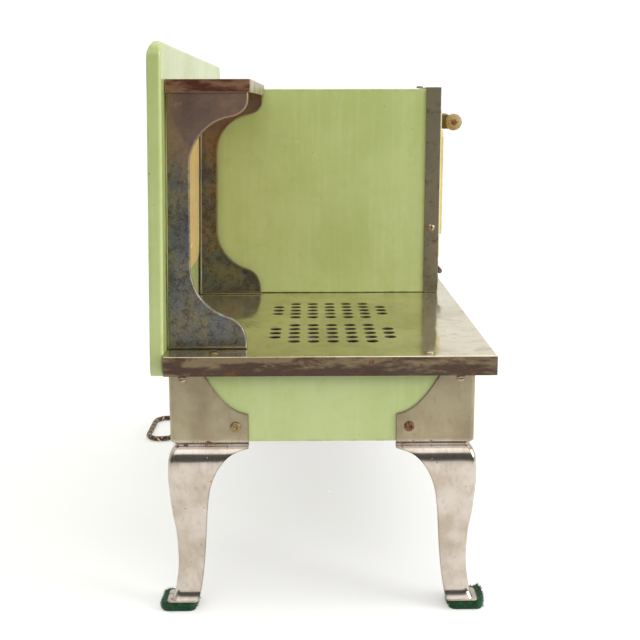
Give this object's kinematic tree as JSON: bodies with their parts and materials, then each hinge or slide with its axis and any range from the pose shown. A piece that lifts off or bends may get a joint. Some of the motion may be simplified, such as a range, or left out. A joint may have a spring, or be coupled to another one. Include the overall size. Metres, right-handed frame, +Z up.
{
  "type": "child's electric kitchen range",
  "caption": "Small sheet-metal electric range with a perforated cooktop, a raised oven with a drop-down door, a warming shelf, a tall back panel and four cabriole legs.",
  "frame": {"origin": "on the floor, at the middle of the footprint of everything but the free cord and its plug", "axes": "+X from the cooktop's end to the oven's end, +Y from the door to the back panel, +Z up"},
  "size_m": [0.43, 0.2913, 0.3555],
  "materials": {
    "green_enamel": "gloss",
    "cream_enamel": "gloss",
    "nickel_plate": "polished",
    "tarnished_nickel": "satin",
    "bare_steel": "satin",
    "turned_wood": "satin",
    "green_felt": "matte",
    "ceramic_core": "matte",
    "heating_wire": "satin",
    "moulded_brown": "gloss",
    "blade_brass": "satin",
    "braided_cotton": "matte"
  },
  "bodies": {
    "stove": {"cooktop_plate": "nickel_plate", "oven_base_plate": "nickel_plate", "leg_front_left": "nickel_plate", "leg_front_right": "nickel_plate", "leg_back_left": "nickel_plate", "leg_back_right": "nickel_plate", "oven_front_frame": "tarnished_nickel", "warming_shelf": "tarnished_nickel", "shelf_bracket_left": "tarnished_nickel", "shelf_bracket_right": "tarnished_nickel", "door_hinge_leaf": "tarnished_nickel", "base_front": "green_enamel", "base_back": "green_enamel", "base_left": "green_enamel", "base_right": "green_enamel", "oven_wrap": "green_enamel", "back_panel": "green_enamel", "back_panel_inset": "cream_enamel", "burner_tray_left": "bare_steel", "burner_tray_right": "bare_steel", "base_bottom": "bare_steel", "oven_back": "bare_steel", "oven_floor": "bare_steel", "oven_rack_ledge_left": "bare_steel", "oven_rack_ledge_right": "bare_steel", "oven_element_clip_left": "bare_steel", "oven_element_clip_right": "bare_steel", "door_hinge_pin": "bare_steel", "door_catch": "bare_steel", "leg_rivet_front_left_long": "bare_steel", "leg_rivet_front_left_short": "bare_steel", "foot_felt_front_left": "green_felt", "leg_rivet_front_right_long": "bare_steel", "leg_rivet_front_right_short": "bare_steel", "foot_felt_front_right": "green_felt", "leg_rivet_back_left_long": "bare_steel", "leg_rivet_back_left_short": "bare_steel", "foot_felt_back_left": "green_felt", "leg_rivet_back_right_long": "bare_steel", "leg_rivet_back_right_short": "bare_steel", "foot_felt_back_right": "green_felt", "burner_ceramic_left": "ceramic_core", "burner_ceramic_right": "ceramic_core", "oven_element": "ceramic_core", "burner_coil_left": "heating_wire", "burner_coil_right": "heating_wire", "oven_rack": "heating_wire", "cord_grommet": "moulded_brown", "plug_body": "moulded_brown", "cord": "braided_cotton", "cord_coil": "braided_cotton", "cord_tail": "braided_cotton", "plug_blade_left": "blade_brass", "plug_blade_right": "blade_brass"},
    "oven_door_body": {"oven_door": "green_enamel", "oven_door_panel": "cream_enamel", "door_handle_grip": "turned_wood", "door_handle_ear_left": "tarnished_nickel", "door_handle_ear_right": "tarnished_nickel"}
  },
  "joints": [
    {"name": "oven_door_hinge", "type": "hinge", "parent": "stove", "child": "oven_door_body", "pos_m": [0.1066, -0.09048, 0.1855], "axis": [1, 0, 0], "range_deg": [0, 90]}
  ]
}
